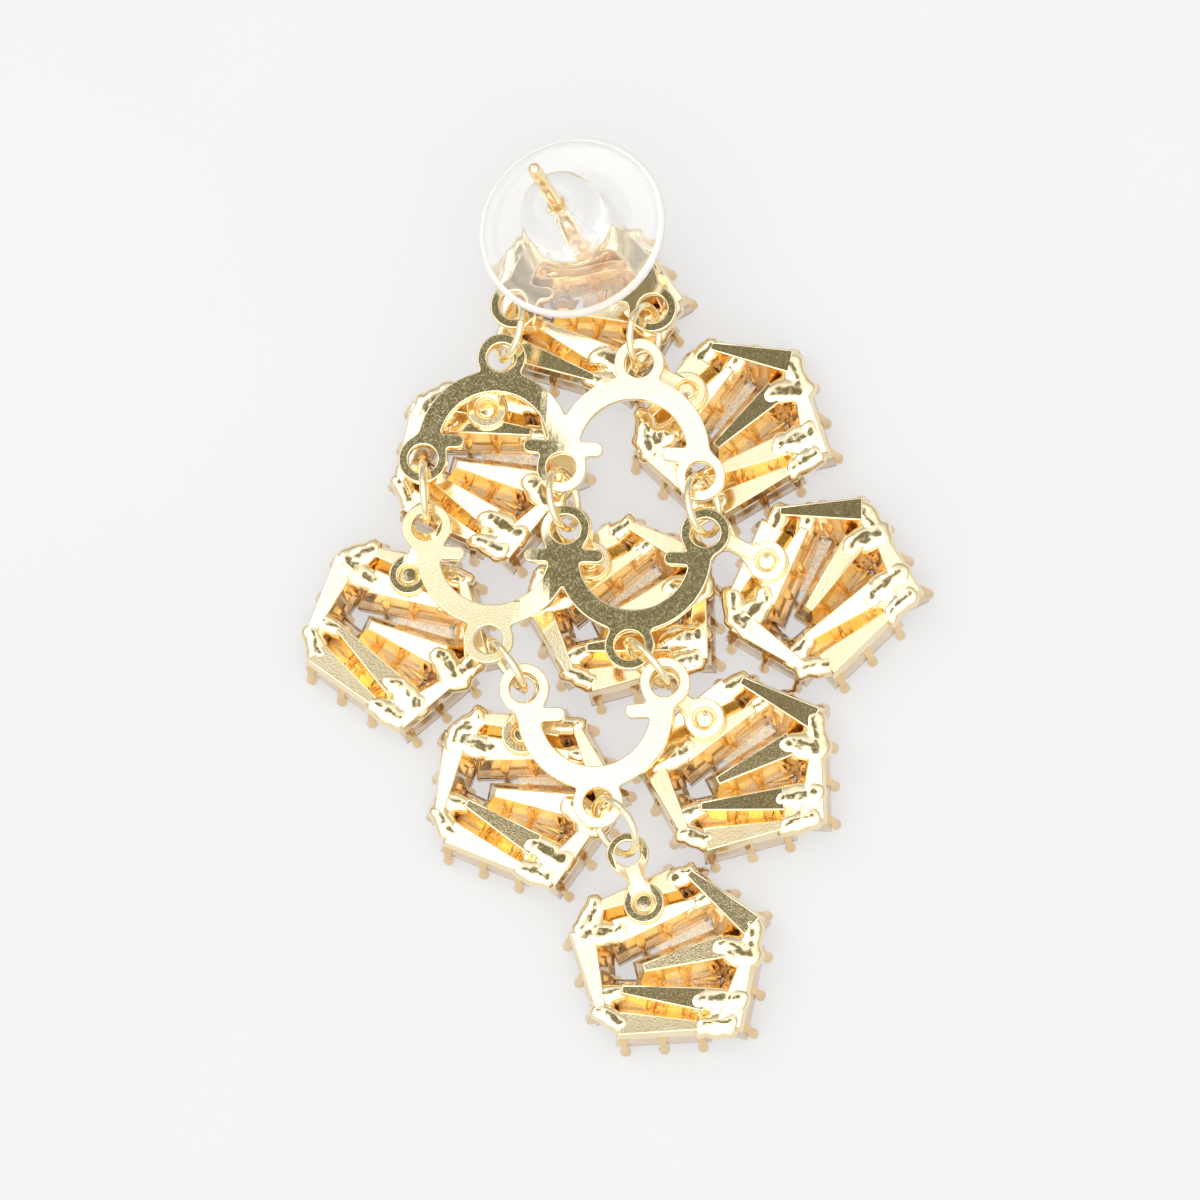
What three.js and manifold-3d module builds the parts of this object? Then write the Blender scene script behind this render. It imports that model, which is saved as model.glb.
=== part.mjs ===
// Chandelier earring, lying face down with its back up.
// Millimetres, +Z up, +X to the right and +Y toward the ear post, seen from above.
import * as THREE from 'three';
import * as BufferGeometryUtils from 'three/addons/utils/BufferGeometryUtils.js';
import Module from 'manifold-3d';

const wasm = await Module();
wasm.setup();

// Heights from the surface that the earring lies on.
const PRONG_TIP_Z = 0;          // prong tips touch the surface
const TABLE_Z = 0.3;            // stone tables stay clear of it
const STEP_Z = 0.56;            // first crown step of a stone
const GIRDLE_Z = 0.86;          // widest line of a stone
const SEAT_RIM_Z = 1.02;        // front edge of the metal seats
const SEAT_EDGE_Z = 1.5;        // where a seat begins to narrow toward its back
const BACK_Z = 3.3;             // flat backs of the seats
const PAD_TOP_Z = 3.75;         // top of a soldered tab pad
const TAB_Z = 4.34;             // underside of a tab loop
const TAB_THICK = 0.4;
const PLATE_Z = 4.92;           // underside of the hanging plates
const PLATE_THICK = 0.6;
const ARCH_Z = 4.42;            // underside of the arch on the top cluster
const SOLDER_DEPTH = 0.12;      // how far soldered pieces sink into each other
const LINK_GAP = 0.14;          // air between a jump ring and the seat backs

// One tapered baguette stone and its seat.
const STONE_WIDE = 1.9;
const STONE_NARROW = 1.02;
const STONE_LENGTH = 5.3;
const SEAT_WALL = 0.12;         // metal outside the stone's outline
const SEAT_TAPER = 0.5;         // how far the walls lean in by the back
const STEP_INSET = 0.13;
const TABLE_INSET = 0.24;

// Middle of each stone in a cluster and the way its narrow end points (degrees).
const STONES = {
  a: { x: -4.1, y: -1.2, turn: -76 },
  b: { x: -0.12, y: -4.2, turn: -1 },
  c: { x: 4.26, y: -1.85, turn: 75.6 },
  d: { x: 3.09, y: 2.93, turn: 140.5 },
  e: { x: -1.79, y: 3.23, turn: 200.7 },
  f: { x: -0.55, y: 1.9, turn: 20.9 },
  g: { x: 1.12, y: -0.35, turn: 195.7 },
  h: { x: -0.02, y: -2.5, turn: 173.8 },
};

// Prongs: stone, side (+1 left of the way it points, -1 right), place along it from its middle.
const PRONG = { width: 0.42, depth: 0.5, top: 1.4, clear: 0.02 };
const PRONGS = [
  ['a', -1, -1.5], ['a', -1, 1.5], ['b', -1, -1.8], ['b', -1, 0], ['b', -1, 1.8],
  ['c', -1, -1.8], ['c', -1, 0], ['c', -1, 1.8], ['d', -1, -1.5], ['d', -1, 1.5],
  ['e', -1, -1.5], ['e', -1, 1.5],
];

// Solder webs from the fan's seats to the rim's: stone and place along it, to stone and place.
const WEB = { width: 0.9, bottom: 1.7, top: 2.9 };
const WEBS = [
  ['f', -2.2, 'a', -2.0], ['f', 2.1, 'd', 0.5], ['g', -2.2, 'c', 1.6],
  ['h', -2.2, 'c', -1.0], ['h', 2.2, 'a', 1.4],
];

// Plates: every lobe is the same arch with a loop at each foot and one on its crown.
const LOBE = { radius: 3.78, band: 1.3, pitch: 8.0, crown: 5.2 };
const LOOP = { outer: 1.42, hole: 0.84, sides: 10 };
const NUB = { length: 1.15, width: 0.8, y: 0.1 };

// The earring hangs together from its arch: each place is given from the piece above it,
// with the way the piece is turned (degrees, counter-clockwise).
const ARCH = { x: -1.55, y: 19.3, turn: -1.8, foot: 0.6, double: false, flip: false };
const HUNG_PLATES = {
  upper: { above: 'arch', x: -0.93, y: -9.2, turn: -3.6, foot: 1.05, double: true, flip: false },
  middle: { above: 'upper', x: 0.23, y: -6.15, turn: -1.5, foot: 1.45, double: true, flip: true },
  lower: { above: 'middle', x: 2.0, y: -9.1, turn: 2.7, foot: 1.45, double: false, flip: true },
};
const HUNG_CLUSTERS = {
  top: { above: 'arch', x: -0.15, y: 0.38, turn: -20 },
  upper_left: { above: 'upper', x: -4.9, y: 0.02, turn: -29 },
  upper_right: { above: 'upper', x: 9.15, y: 2.2, turn: 28 },
  left: { above: 'middle', x: -9.85, y: -3.6, turn: -39 },
  center: { above: 'middle', x: 3.02, y: -2.27, turn: 12 },
  right: { above: 'middle', x: 14.05, y: -1.13, turn: 41 },
  lower_left: { above: 'lower', x: -4.36, y: -3.86, turn: -25 },
  lower_right: { above: 'lower', x: 7.75, y: -2.35, turn: 12 },
  bottom: { above: 'lower', x: 4.03, y: -13.28, turn: 0 },
};
const PLACES = { arch: ARCH };
function hang([name, { above, x, y, ...rest }]) {
  PLACES[name] = { x: PLACES[above].x + x, y: PLACES[above].y + y, ...rest };
  return [name, PLACES[name]];
}
const PLATES = Object.fromEntries(Object.entries(HUNG_PLATES).map(hang));
const CLUSTERS = Object.fromEntries(Object.entries(HUNG_CLUSTERS).map(hang));

// Solder posts that carry the arch on the top cluster: angles on the arch (degrees).
const PILLARS = { angles: [27, 90, 164], radius: 0.52, outward: 0.35, sink: 0.9, sides: 10 };

// Tabs: the pad's place in a cluster and the sizes of its loop and neck.
const TAB = { x: -1.2, y: 2.62, padRadius: 1.15, padSides: 10, neck: 0.95, outer: 1.2, hole: 0.72, sides: 10 };
const DIMPLE = { radius: 0.62, depth: 0.28, sides: 8 };

// Jump rings: lean is the tilt of the ring from upright (degrees).
const RING = { radius: 1.72, wire: 0.21, sides: 6, steps: 12 };
const HANG = [1.84, -7.82];     // point of the lower plate toward which the last ring runs

// Ear post with its solder cup, and the clear nut that slides on it.
const POST = { radius: 0.39, length: 11.2, tip: 0.3, leanX: -7.5, leanY: 4.5, sides: 8 };
const NOTCH = { from: 8.6, to: 9.3, radius: 0.27 };
const CUP = { x: -0.45, y: -0.35, outer: 1.15, inner: 0.8, height: 0.75, sides: 12 };
const NUT = { rise: 1.5, disc: 5.5, thick: 0.7, hub: 2.35, height: 4.3, bore: 0.52, sides: 20 };

const GOLD = '#e6c78a';
const degrees = (a) => (a * Math.PI) / 180;
const UP = new THREE.Vector3(0, 0, 1);

// Turns a closed geometry into a solid for the boolean steps.
function solid(geometry) {
  const g = geometry.clone();
  g.deleteAttribute('normal');
  g.deleteAttribute('uv');
  const m = BufferGeometryUtils.mergeVertices(g, 1e-5);
  return new wasm.Manifold(new wasm.Mesh({
    numProp: 3,
    vertProperties: new Float32Array(m.attributes.position.array),
    triVerts: new Uint32Array(m.index.array),
  }));
}

const join = (list) => list.reduce((sum, one) => sum.add(one));

function geometryOf(body) {
  const mesh = body.getMesh();
  const g = new THREE.BufferGeometry();
  const position = new Float32Array((mesh.vertProperties.length / mesh.numProp) * 3);
  for (let i = 0; i < position.length / 3; i += 1) {
    for (let k = 0; k < 3; k += 1) position[3 * i + k] = mesh.vertProperties[mesh.numProp * i + k];
  }
  g.setAttribute('position', new THREE.BufferAttribute(position, 3));
  g.setIndex(Array.from(mesh.triVerts));
  return g;
}

// Solid through a stack of outlines with equal point counts, lowest first.
function stack(levels) {
  const n = levels[0].points.length;
  const position = [];
  const index = [];
  levels.forEach(({ z, points }) => points.forEach(([x, y]) => position.push(x, y, z)));
  for (let l = 0; l < levels.length - 1; l += 1) {
    for (let i = 0; i < n; i += 1) {
      const j = (i + 1) % n;
      const [a, b, c, d] = [l * n + i, l * n + j, (l + 1) * n + j, (l + 1) * n + i];
      index.push(a, b, c, a, c, d);
    }
  }
  const last = (levels.length - 1) * n;
  for (let i = 1; i < n - 1; i += 1) {
    index.push(0, i + 1, i);
    index.push(last, last + i, last + i + 1);
  }
  const g = new THREE.BufferGeometry();
  g.setAttribute('position', new THREE.BufferAttribute(new Float32Array(position), 3));
  g.setIndex(index);
  return g;
}

function disc(radius, bottom, top, sides, x = 0, y = 0) {
  const g = new THREE.CylinderGeometry(radius, radius, top - bottom, sides);
  return solid(g.rotateX(Math.PI / 2).translate(x, y, (top + bottom) / 2));
}

// Tapered four-cornered outline of a stone, wide end first, grown by a margin.
function outline(grow) {
  const half = STONE_LENGTH / 2 + grow;
  const wide = STONE_WIDE / 2 + grow;
  const narrow = STONE_NARROW / 2 + grow;
  return [[-half, -wide], [half, -narrow], [half, narrow], [-half, wide]];
}

function place(geometry, { x, y, turn }) {
  return geometry.rotateZ(degrees(turn)).translate(x, y, 0);
}

// A stone, table down, and the metal seat that narrows to a flat back behind it, as one body.
function seatedStone(stone) {
  return solid(place(stack([
    { z: TABLE_Z, points: outline(-TABLE_INSET) },
    { z: STEP_Z, points: outline(-STEP_INSET) },
    { z: GIRDLE_Z, points: outline(0) },
    { z: SEAT_RIM_Z, points: outline(0) },
    { z: SEAT_RIM_Z, points: outline(SEAT_WALL) },
    { z: SEAT_EDGE_Z, points: outline(SEAT_WALL) },
    { z: BACK_Z, points: outline(SEAT_WALL - SEAT_TAPER) },
  ]), stone));
}

// A point on a stone's middle line, at a distance from its middle and off to one side.
function along(stone, distance, aside = 0) {
  const a = degrees(stone.turn);
  return [
    stone.x + distance * Math.cos(a) - aside * Math.sin(a),
    stone.y + distance * Math.sin(a) + aside * Math.cos(a),
  ];
}

function prong([name, side, distance]) {
  const stone = STONES[name];
  const share = distance / STONE_LENGTH + 0.5;
  const half = (STONE_WIDE + (STONE_NARROW - STONE_WIDE) * share) / 2;
  const [x, y] = along(stone, distance, side * (half + PRONG.clear + PRONG.depth / 2));
  const g = new THREE.BoxGeometry(PRONG.width, PRONG.depth, PRONG.top - PRONG_TIP_Z);
  return solid(g.rotateZ(degrees(stone.turn)).translate(x, y, (PRONG.top + PRONG_TIP_Z) / 2));
}

// Straight bar between two points in plan, with its own heights at each end.
function bar([x0, y0], [x1, y1], width, bottom, top, rise = 0) {
  const dx = x1 - x0;
  const dy = y1 - y0;
  const length = Math.hypot(dx, dy);
  const [nx, ny] = [(-dy / length) * (width / 2), (dx / length) * (width / 2)];
  const g = stack([
    { z: 0, points: [[x0 + nx, y0 + ny], [x0 - nx, y0 - ny], [x1 - nx, y1 - ny], [x1 + nx, y1 + ny]] },
    { z: 1, points: [[x0 + nx, y0 + ny], [x0 - nx, y0 - ny], [x1 - nx, y1 - ny], [x1 + nx, y1 + ny]] },
  ]);
  const p = g.attributes.position;
  for (let i = 0; i < 8; i += 1) {
    const far = i % 4 > 1 ? rise : 0;
    p.setZ(i, (i < 4 ? bottom : top) + far);
  }
  return solid(g);
}

function web([from, start, to, end]) {
  return bar(along(STONES[from], start), along(STONES[to], end), WEB.width, WEB.bottom, WEB.top);
}

const clusterBody = join([
  ...Object.values(STONES).map(seatedStone),
  ...PRONGS.map(prong),
  ...WEBS.map(web),
]);

// A point given in the frame of something that is moved and turned.
function at({ x, y, turn }, [px, py]) {
  const a = degrees(turn);
  return [x + px * Math.cos(a) - py * Math.sin(a), y + px * Math.sin(a) + py * Math.cos(a)];
}

function moved(body, { x, y, turn }) {
  return body.rotate([0, 0, turn]).translate([x, y, 0]);
}

// Loop centres of a plate, in its own frame: feet from left to right, then crowns.
function loopPlaces({ double, flip, foot }) {
  const s = flip ? -1 : 1;
  const count = double ? 2 : 1;
  const first = (-LOBE.pitch * count) / 2;
  const feet = Array.from({ length: count + 1 }, (_, i) => [first + i * LOBE.pitch, -foot * s]);
  const crowns = Array.from({ length: count }, (_, i) => [
    first + (i + 0.5) * LOBE.pitch, LOBE.crown * s]);
  return { feet, crowns };
}

// One arch band: half ring with a short straight leg down to each foot.
function lobeBand(x, s, bottom, thick, foot) {
  const outer = LOBE.radius + LOBE.band / 2;
  const inner = LOBE.radius - LOBE.band / 2;
  const shape = new THREE.Shape();
  shape.moveTo(outer, -foot);
  shape.absarc(0, 0, outer, 0, Math.PI, false);
  shape.lineTo(-outer, -foot);
  shape.lineTo(-inner, -foot);
  shape.absarc(0, 0, inner, Math.PI, 0, true);
  shape.lineTo(inner, -foot);
  const g = new THREE.ExtrudeGeometry(shape, { depth: thick, bevelEnabled: false, curveSegments: 6 });
  if (s < 0) g.rotateZ(Math.PI);
  return solid(g.translate(x, 0, bottom));
}

function nub(x, direction, s, bottom, thick) {
  const start = LOBE.radius - LOBE.band / 2 + SOLDER_DEPTH;
  const reach = start - NUB.length;
  const y = NUB.y * s;
  const arm = new THREE.BoxGeometry(NUB.length, NUB.width, thick)
    .translate(x + direction * (start - NUB.length / 2), y, bottom + thick / 2);
  return join([solid(arm), disc(NUB.width / 2, bottom, bottom + thick, 8, x + direction * reach, y)]);
}

function plateBody(plate, bottom, crownLoops) {
  const s = plate.flip ? -1 : 1;
  const top = bottom + PLATE_THICK;
  const { feet, crowns } = loopPlaces(plate);
  const loops = crownLoops ? [...feet, ...crowns] : feet;
  const parts = [];
  crowns.forEach(([x]) => {
    parts.push(lobeBand(x, s, bottom, PLATE_THICK, plate.foot));
    parts.push(nub(x, 1, s, bottom, PLATE_THICK), nub(x, -1, s, bottom, PLATE_THICK));
  });
  loops.forEach(([x, y]) => parts.push(disc(LOOP.outer, bottom, top, LOOP.sides, x, y)));
  const holes = loops.map(([x, y]) => disc(LOOP.hole, bottom - 1, top + 1, LOOP.sides, x, y));
  return join(parts).subtract(join(holes));
}

// Jump ring through an upper hole and a lower hole, leaning to one side of the line between them.
// It clears the seat backs by the link gap; the tab loop it carries sits where the wire crosses.
function ringThrough([x1, y1, z1], [x2, y2, z2], lean, tabOnly) {
  const tilt = degrees(lean);
  const centreZ = BACK_Z + LINK_GAP + RING.wire + RING.radius * Math.cos(tilt);
  const length = Math.hypot(x2 - x1, y2 - y1);
  const u = [(x2 - x1) / length, (y2 - y1) / length];
  const n = [-u[1], u[0]];
  const drop = (z) => (z - centreZ) / Math.cos(tilt);
  const reach = (z) => Math.sqrt(RING.radius ** 2 - drop(z) ** 2);
  const side = -Math.sin(tilt) * (tabOnly ? drop(z1) : (drop(z1) + drop(z2)) / 2);
  const shift = tabOnly ? reach(z1) : (length + reach(z1) - reach(z2)) / 2;
  const centre = [x1 + u[0] * shift + n[0] * side, y1 + u[1] * shift + n[1] * side];
  const tabMid = TAB_Z + TAB_THICK / 2;
  const out = reach(tabMid);
  const off = Math.sin(tilt) * drop(tabMid);
  const torus = new THREE.TorusGeometry(RING.radius, RING.wire, RING.sides, RING.steps);
  const rise = new THREE.Vector3(n[0] * Math.sin(tilt), n[1] * Math.sin(tilt), Math.cos(tilt));
  const run = new THREE.Vector3(u[0], u[1], 0);
  const facing = new THREE.Vector3().crossVectors(run, rise);
  torus.applyMatrix4(new THREE.Matrix4().makeBasis(run, rise, facing));
  torus.translate(centre[0], centre[1], centreZ);
  return { geometry: torus, tab: [centre[0] + u[0] * out + n[0] * off, centre[1] + u[1] * out + n[1] * off] };
}

const plateMid = PLATE_Z + PLATE_THICK / 2;
const archMid = ARCH_Z + PLATE_THICK / 2;
const hole = (plate, kind, i, z = plateMid) => [...at(plate, loopPlaces(plate)[kind][i]), z];

// Jump rings by name: upper hole, lower hole, lean, and the cluster that hangs from it.
// The last one has no plate below it, only the bottom cluster's tab.
const LINKS = {
  upper_left: [hole(ARCH, 'feet', 0, archMid), hole(PLATES.upper, 'crowns', 0), 28, 'upper_left'],
  upper_right: [hole(ARCH, 'feet', 1, archMid), hole(PLATES.upper, 'crowns', 1), -22, 'upper_right'],
  middle_left: [hole(PLATES.upper, 'feet', 0), hole(PLATES.middle, 'feet', 0), 4, 'left'],
  middle: [hole(PLATES.upper, 'feet', 1), hole(PLATES.middle, 'feet', 1), -22, 'center'],
  middle_right: [hole(PLATES.upper, 'feet', 2), hole(PLATES.middle, 'feet', 2), -26, 'right'],
  lower_left: [hole(PLATES.middle, 'crowns', 0), hole(PLATES.lower, 'feet', 0), 8, 'lower_left'],
  lower_right: [hole(PLATES.middle, 'crowns', 1), hole(PLATES.lower, 'feet', 1), 8, 'lower_right'],
  bottom: [hole(PLATES.lower, 'crowns', 0), [...at(PLATES.lower, HANG), plateMid], 30, 'bottom', true],
};

const rings = {};
Object.entries(LINKS).forEach(([name, [from, to, lean, cluster, tabOnly]]) => {
  rings[name] = { ...ringThrough(from, to, lean, tabOnly), cluster };
});

// Pad with a riveted dimple on a cluster's back, and the neck and loop that rise to the ring.
function tab(pad, loop) {
  const dx = loop[0] - pad[0];
  const dy = loop[1] - pad[1];
  const length = Math.hypot(dx, dy);
  const [ux, uy] = [dx / length, dy / length];
  const base = PAD_TOP_Z - TAB_THICK;
  const padBody = disc(TAB.padRadius, BACK_Z - SOLDER_DEPTH, PAD_TOP_Z, TAB.padSides, ...pad)
    .subtract(disc(DIMPLE.radius, PAD_TOP_Z - DIMPLE.depth, PAD_TOP_Z + 1, DIMPLE.sides, ...pad));
  const start = [pad[0] + ux * (TAB.padRadius - 0.25), pad[1] + uy * (TAB.padRadius - 0.25)];
  const end = [loop[0] - ux * (TAB.outer - 0.3), loop[1] - uy * (TAB.outer - 0.3)];
  const neck = bar(start, end, TAB.neck, base, PAD_TOP_Z, TAB_Z - base);
  const top = TAB_Z + TAB_THICK;
  const loopBody = disc(TAB.outer, TAB_Z, top, TAB.sides, ...loop);
  const opening = disc(TAB.hole, TAB_Z - 1, top + 1, TAB.sides, ...loop);
  return join([padBody, neck, loopBody]).subtract(opening);
}

// Post axis: a straight pin that leans left and away, with a notch near its tip.
const axis = new THREE.Vector3(
  Math.tan(degrees(POST.leanX)), Math.tan(degrees(POST.leanY)), 1).normalize();
const lean = new THREE.Quaternion().setFromUnitVectors(UP, axis);
const [cupX, cupY] = at(ARCH, [CUP.x, LOBE.radius + CUP.y]);
const postFoot = [cupX, cupY, ARCH_Z + PLATE_THICK];

function turned(profile, sides) {
  const g = new THREE.LatheGeometry(profile.map(([r, z]) => new THREE.Vector2(r, z)), sides);
  return g.rotateX(Math.PI / 2).applyQuaternion(lean).translate(...postFoot);
}

const post = solid(turned([
  [0, -0.4], [POST.radius, -0.4], [POST.radius, NOTCH.from], [NOTCH.radius, NOTCH.from + 0.2],
  [NOTCH.radius, NOTCH.to - 0.2], [POST.radius, NOTCH.to], [POST.radius, POST.length - POST.tip],
  [0, POST.length],
], POST.sides));
const cup = disc(CUP.outer, ARCH_Z, postFoot[2] + CUP.height - 0.4, CUP.sides, cupX, cupY)
  .subtract(disc(CUP.inner, postFoot[2] - 0.15, postFoot[2] + CUP.height, CUP.sides, cupX, cupY));

const group = new THREE.Group();
function addMesh(name, geometry, colour = GOLD, roughness = 0.22, metalness = 1) {
  const g = geometry.index ? geometry.toNonIndexed() : geometry;
  g.computeVertexNormals();
  const mesh = new THREE.Mesh(g, new THREE.MeshStandardMaterial({ color: colour, roughness, metalness }));
  mesh.name = name;
  group.add(mesh);
}

Object.entries(CLUSTERS).forEach(([name, spot]) => {
  let body = moved(clusterBody, spot);
  const link = Object.values(rings).find((ring) => ring.cluster === name);
  if (link) {
    body = body.add(tab(at(spot, [TAB.x, TAB.y]), link.tab));
  } else {
    const reach = LOBE.radius + PILLARS.outward;
    const pillars = PILLARS.angles.map(degrees).map((a) =>
      disc(PILLARS.radius, BACK_Z - PILLARS.sink, ARCH_Z + SOLDER_DEPTH, PILLARS.sides,
        ...at(ARCH, [reach * Math.cos(a), reach * Math.sin(a)])));
    body = join([body, moved(plateBody(ARCH, ARCH_Z, false), ARCH), ...pillars, cup, post]);
  }
  addMesh(`cluster_${name}`, geometryOf(body));
});

Object.entries(PLATES).forEach(([name, plate]) => {
  addMesh(`plate_${name}`, geometryOf(moved(plateBody(plate, PLATE_Z, true), plate)));
});

Object.entries(rings).forEach(([name, ring]) => addMesh(`jump_ring_${name}`, ring.geometry));

const nutProfile = [
  [NUT.bore, NUT.rise], [NUT.disc - 0.25, NUT.rise], [NUT.disc, NUT.rise + 0.2],
  [NUT.disc, NUT.rise + NUT.thick], [NUT.hub + 0.25, NUT.rise + NUT.thick + 0.1],
  [NUT.hub, NUT.rise + NUT.thick + 0.4], [NUT.hub, NUT.rise + NUT.height - 0.9],
  [NUT.hub - 0.55, NUT.rise + NUT.height - 0.15], [NUT.hub - 1.0, NUT.rise + NUT.height],
  [NUT.bore, NUT.rise + NUT.height], [NUT.bore, NUT.rise],
];
addMesh('ear_nut', geometryOf(solid(turned(nutProfile, NUT.sides))), '#eef0f2', 0.08, 0);

// Bring the middle of the whole to the origin, with the prong tips on the surface.
const box = new THREE.Box3().setFromObject(group);
const boxMiddle = box.getCenter(new THREE.Vector3());
group.children.forEach((mesh) => mesh.geometry.translate(-boxMiddle.x, -boxMiddle.y, -box.min.z));

export default group;
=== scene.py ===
"""Looks of the chandelier earring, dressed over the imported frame."""
import math
import random

import bmesh
import bpy
from mathutils import Matrix, Vector, noise as uneven


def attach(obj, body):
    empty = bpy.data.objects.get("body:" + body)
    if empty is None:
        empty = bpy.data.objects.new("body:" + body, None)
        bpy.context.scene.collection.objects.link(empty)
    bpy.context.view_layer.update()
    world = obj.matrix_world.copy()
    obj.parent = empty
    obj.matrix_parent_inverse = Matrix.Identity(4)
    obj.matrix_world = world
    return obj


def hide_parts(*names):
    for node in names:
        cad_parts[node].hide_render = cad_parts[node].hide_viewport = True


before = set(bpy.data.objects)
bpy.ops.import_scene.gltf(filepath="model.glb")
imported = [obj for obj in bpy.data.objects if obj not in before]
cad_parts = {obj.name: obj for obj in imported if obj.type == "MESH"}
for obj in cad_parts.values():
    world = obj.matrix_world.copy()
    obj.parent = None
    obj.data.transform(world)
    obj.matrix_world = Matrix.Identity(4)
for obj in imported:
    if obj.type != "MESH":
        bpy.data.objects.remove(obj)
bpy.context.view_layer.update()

MM = 0.001
SHIFT = (-0.32081, -2.19769)   # from the plan's own origin to the frame's

# Heights in millimetres, as in the solids.
TABLE_Z, STEP_Z, GIRDLE_Z, BACK_Z = 0.3, 0.56, 0.86, 3.3
PAD_TOP_Z, TAB_Z, TAB_THICK = 3.75, 4.34, 0.4
PLATE_Z, PLATE_THICK, ARCH_Z = 4.92, 0.6, 4.42
LINK_GAP = 0.14

STONE_WIDE, STONE_NARROW, STONE_LENGTH = 1.9, 1.02, 5.3

STONES = {
    "a": (-4.1, -1.2, -76), "b": (-0.12, -4.2, -1), "c": (4.26, -1.85, 75.6),
    "d": (3.09, 2.93, 140.5), "e": (-1.79, 3.23, 200.7), "f": (-0.55, 1.9, 20.9),
    "g": (1.12, -0.35, 195.7), "h": (-0.02, -2.5, 173.8),
}
# Claws: stone, side, places along it.
PRONGS = [
    ("a", -1, (-2.2, 0, 2.2)), ("b", -1, (-2.2, 0, 2.2)), ("c", -1, (-2.2, 0, 2.2)),
    ("d", -1, (-2.2, 0, 2.2)), ("e", -1, (-2.2, 0, 2.2)), ("a", 1, (-1.0, 0.4)),
    ("b", 1, (-0.8, 1.3)), ("c", 1, (-0.2, 0.7)), ("d", 1, (-1.4, -0.3)), ("e", 1, (-1.3, 0.4)),
    ("f", 1, (-1.2, 0.5)), ("f", -1, (-1.3, 0.4)),
    ("g", 1, (-1.4, 0.2)), ("g", -1, (-1.0, 0.7)), ("h", 1, (-1.5, 0.1)), ("h", -1, (-1.3, 0.3)),
]
# Metal that closes the gaps of the fan low down: stone, side, two places along it, then the next stone's.
BRIDGES = [("f", -1, -0.9, 2.3, "g", -1, -2.3, 1.0), ("g", 1, 1.0, -2.3, "h", -1, -2.3, 1.2)]
BRIDGE_LOW_Z, BRIDGE_HIGH_Z, BRIDGE_LAP = 1.2, 1.32, 0.1
# Solder between seats: stone, place, stone, place, half width, top.
WEBS = [
    ("a", 2.35, "b", -2.35, 0.66, 3.26),
    ("b", 2.35, "c", -2.35, 0.7, 3.3),
    ("c", 2.35, "d", -2.35, 0.7, 3.3),
    ("d", 2.35, "e", -2.35, 0.66, 3.26),
    ("e", 2.35, "a", -2.35, 0.78, 3.3),
    ("f", -2.2, "a", -2.0, 0.85, 3.3),
    ("f", 2.1, "d", 0.5, 0.6, 3.18),
    ("g", -2.2, "c", 1.6, 0.92, 3.34),
    ("h", -2.2, "c", -1.0, 0.88, 3.32),
    ("h", 2.2, "a", 1.4, 0.6, 3.18),
]
# Arch radius to the band's middle, band width, distance of two arches, the crown loops' distance.
LOBE_R, BAND, PITCH, CROWN = 3.78, 1.3, 8.0, 5.2
LOOP_R, HOLE_R = 1.42, 0.84
NUB_LENGTH, NUB_WIDTH, NUB_Y = 1.15, 0.8, 0.1


def below(above, x, y, turn, **more):
    """A place given from the piece it hangs from, as in the solids."""
    return dict(x=above["x"] + x, y=above["y"] + y, turn=turn, **more)


ARCH = dict(x=-1.55, y=19.3, turn=-1.8, foot=0.6, lobes=1, flip=False)
UPPER = below(ARCH, -0.93, -9.2, -3.6, foot=1.05, lobes=2, flip=False)
MIDDLE = below(UPPER, 0.23, -6.15, -1.5, foot=1.45, lobes=2, flip=True)
LOWER = below(MIDDLE, 2.0, -9.1, 2.7, foot=1.45, lobes=1, flip=True)
PLATES = {"upper": UPPER, "middle": MIDDLE, "lower": LOWER}
CLUSTERS = {
    "top": below(ARCH, -0.15, 0.38, -20), "upper_left": below(UPPER, -4.9, 0.02, -29),
    "upper_right": below(UPPER, 9.15, 2.2, 28), "left": below(MIDDLE, -9.85, -3.6, -39),
    "center": below(MIDDLE, 3.02, -2.27, 12), "right": below(MIDDLE, 14.05, -1.13, 41),
    "lower_left": below(LOWER, -4.36, -3.86, -25), "lower_right": below(LOWER, 7.75, -2.35, 12),
    "bottom": below(LOWER, 4.03, -13.28, 0),
}
PAD_AT, PAD_R, NECK, TAB_OUTER, TAB_HOLE = (-1.2, 2.62), 1.15, 0.95, 1.2, 0.72
RING_R, WIRE = 1.72, 0.21
LEAN_X, LEAN_Y = -7.5, 4.5   # degrees that the ear post leans
# Material slots of a cluster, and of the nut.
METAL, GLASS, BACKING, CLAWS = 0, 1, 2, 3
NUT_BODY, NUT_RIM = 0, 1


# Small helpers.

def place(point, at):
    """A plan point of something moved and turned, in plan millimetres."""
    x, y, turn = spot(at)
    a = math.radians(turn)
    return (x + point[0] * math.cos(a) - point[1] * math.sin(a),
            y + point[0] * math.sin(a) + point[1] * math.cos(a))


def spot(at):
    return (at["x"], at["y"], at["turn"]) if isinstance(at, dict) else at


def along(name, distance, aside=0.0):
    return place((distance, aside), STONES[name])


EVEN_GROWTH, END_GROWTH = 0.1, 0.32


def outline(outer, inner=None):
    """A stone's tapered outline, grown on its outer side and ends, and on its inner side.

    Growth beyond EVEN_GROWTH is larger at the wide end, where the gaps in the fan are wide too.
    """
    inner = outer if inner is None else inner
    half = STONE_LENGTH / 2 + min(outer, END_GROWTH)
    more_out, more_in = (0.5 * max(0.0, grow - EVEN_GROWTH) for grow in (outer, inner))
    return [(-half, -STONE_WIDE / 2 - outer - more_out), (half, -STONE_NARROW / 2 - outer + more_out),
            (half, STONE_NARROW / 2 + inner - more_in), (-half, STONE_WIDE / 2 + inner + more_in)]


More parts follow.
